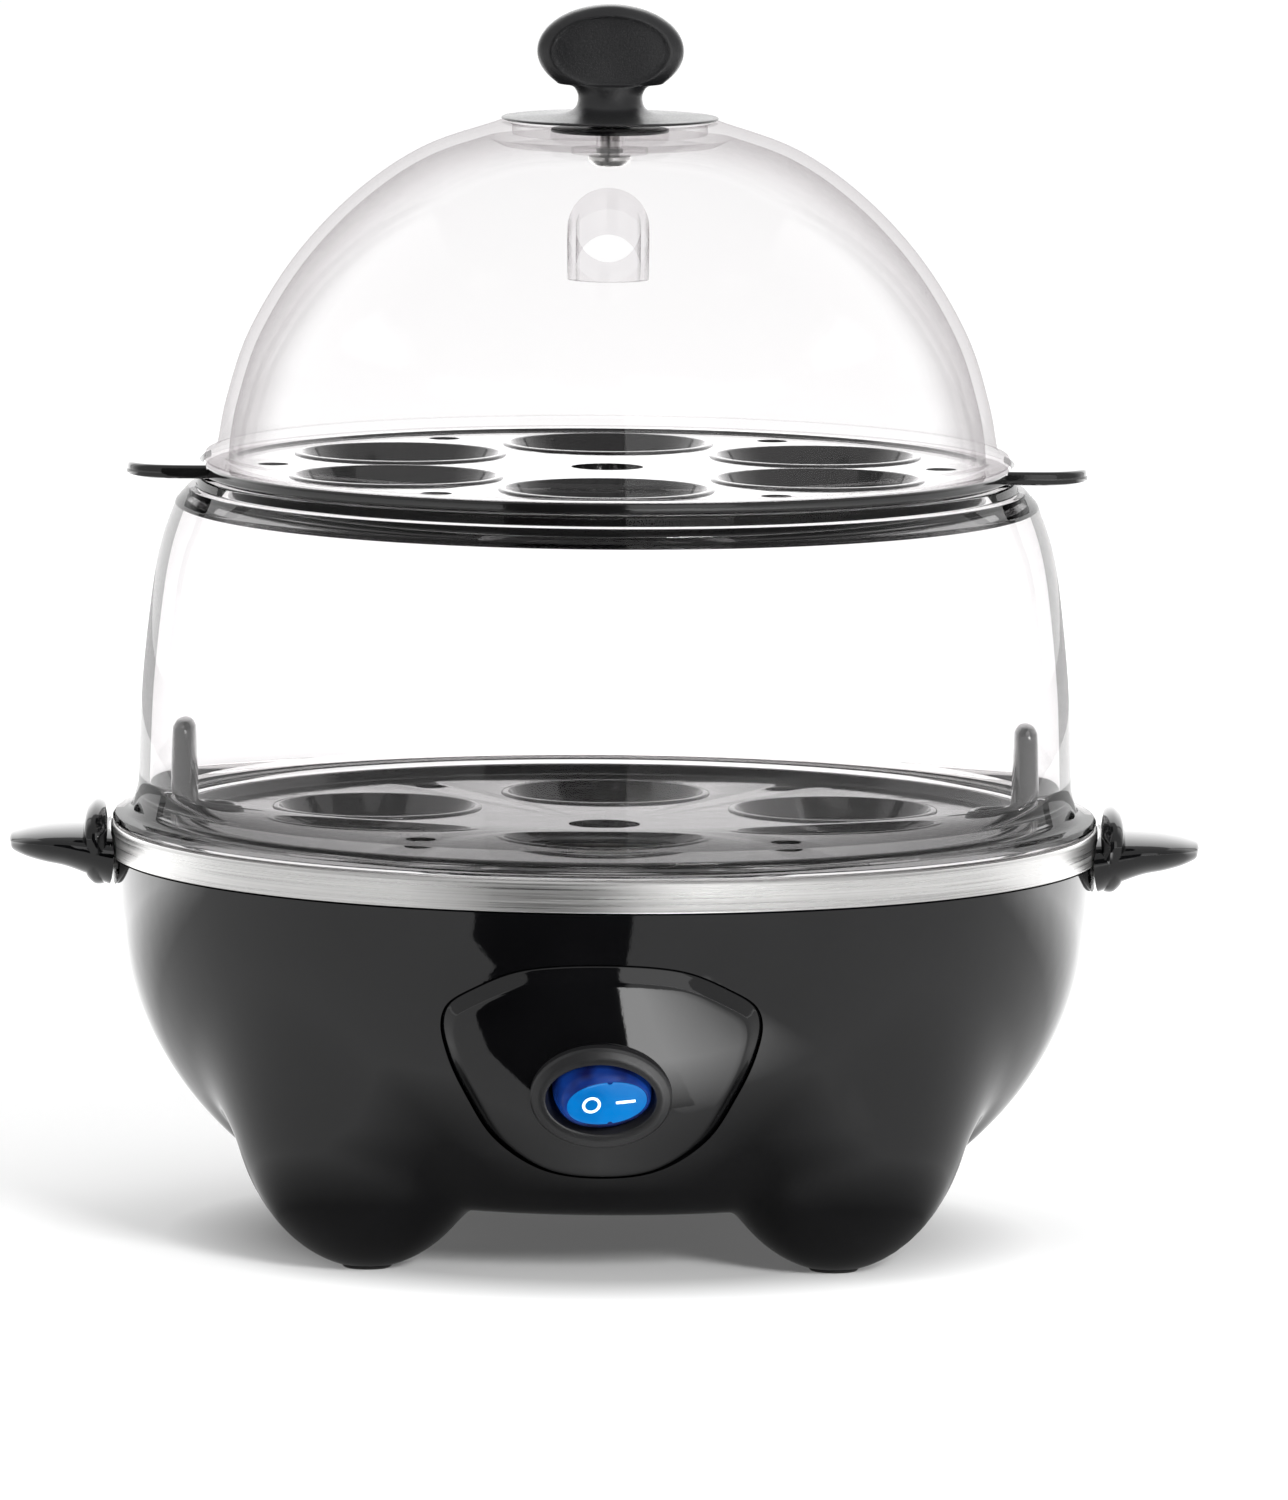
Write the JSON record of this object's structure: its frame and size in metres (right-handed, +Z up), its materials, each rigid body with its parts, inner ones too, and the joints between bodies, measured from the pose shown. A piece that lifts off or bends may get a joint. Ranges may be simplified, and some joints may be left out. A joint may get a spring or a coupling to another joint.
{
  "type": "egg cooker",
  "caption": "Two-tier electric egg cooker: round base on four foot lobes with a rocker switch, steel water pan, two egg trays, clear middle housing and clear domed lid with a knob.",
  "frame": {"origin": "on the surface it stands on, midway between the four rubber feet", "axes": "+Z up, the rocker switch faces -Y, the side handles lie along X"},
  "size_m": [0.2324, 0.1926, 0.2409],
  "materials": {
    "base_plastic": "high gloss black moulded plastic",
    "tray_plastic": "gloss black moulded plastic",
    "satin_plastic": "satin black moulded plastic with a fine grain",
    "clear_plastic": "clear polycarbonate with a very faint warm grey tint",
    "pan_steel": "stainless steel, brushed round the rim",
    "fastener_steel": "zinc plated",
    "terminal_brass": "plain",
    "rocker_blue": "translucent lit blue",
    "foot_rubber": "matt",
    "insulator_ceramic": "off-white insulating moulding",
    "red_insulation": "silicone insulation",
    "blue_insulation": "silicone insulation",
    "green_insulation": "silicone insulation"
  },
  "bodies": {
    "base": {"base_housing": "base_plastic", "bottom_cover": "satin_plastic", "rubber_foot_front_left": "foot_rubber", "rubber_foot_front_right": "foot_rubber", "rubber_foot_rear_left": "foot_rubber", "rubber_foot_rear_right": "foot_rubber", "cover_screw_1": "fastener_steel", "cover_screw_2": "fastener_steel", "cover_screw_3": "fastener_steel", "cover_screw_4": "fastener_steel", "right_handle": "base_plastic", "left_handle": "base_plastic", "right_handle_screw_1": "fastener_steel", "right_handle_screw_2": "fastener_steel", "left_handle_screw_1": "fastener_steel", "left_handle_screw_2": "fastener_steel", "switch_panel": "base_plastic", "switch_body": "satin_plastic", "switch_terminal_1": "terminal_brass", "switch_terminal_2": "terminal_brass", "switch_terminal_3": "terminal_brass", "heating_plate": "pan_steel", "plate_screw_1": "fastener_steel", "plate_screw_2": "fastener_steel", "plate_screw_3": "fastener_steel", "heating_element": "pan_steel", "thermostat": "insulator_ceramic", "thermostat_bracket": "fastener_steel", "bracket_nut_1": "fastener_steel", "bracket_nut_2": "fastener_steel", "thermal_fuse": "insulator_ceramic", "terminal_block": "insulator_ceramic", "cord_gland": "satin_plastic", "cord_clamp": "satin_plastic", "clamp_screw_1": "fastener_steel", "clamp_screw_2": "fastener_steel", "buzzer": "satin_plastic", "live_lead": "red_insulation", "switched_lead": "red_insulation", "fuse_lead": "red_insulation", "neutral_lead": "blue_insulation", "earth_lead": "green_insulation"},
    "rocker": {"rocker": "rocker_blue"},
    "lower_tray": {"lower_tray": "tray_plastic"},
    "middle_housing": {"middle_housing": "clear_plastic"},
    "upper_tray": {"upper_tray": "tray_plastic"},
    "lid": {"lid_dome": "clear_plastic", "lid_knob": "satin_plastic", "knob_washer": "satin_plastic", "knob_screw": "fastener_steel"}
  },
  "joints": [
    {"name": "switch_rock", "type": "hinge", "parent": "base", "child": "rocker", "pos_m": [0, -0.08617, 0.04108], "axis": [0, 0.4384, -0.8988], "range_deg": [0, 22]},
    {"name": "lower_tray_lift", "type": "slide", "parent": "base", "child": "lower_tray", "axis": [0, 0, 1], "range_m": [0, 0.12]},
    {"name": "housing_lift", "type": "slide", "parent": "lower_tray", "child": "middle_housing", "axis": [0, 0, 1], "range_m": [0, 0.12]},
    {"name": "upper_tray_lift", "type": "slide", "parent": "middle_housing", "child": "upper_tray", "axis": [0, 0, 1], "range_m": [0, 0.08]},
    {"name": "lid_lift", "type": "slide", "parent": "upper_tray", "child": "lid", "axis": [0, 0, 1], "range_m": [0, 0.1]}
  ]
}
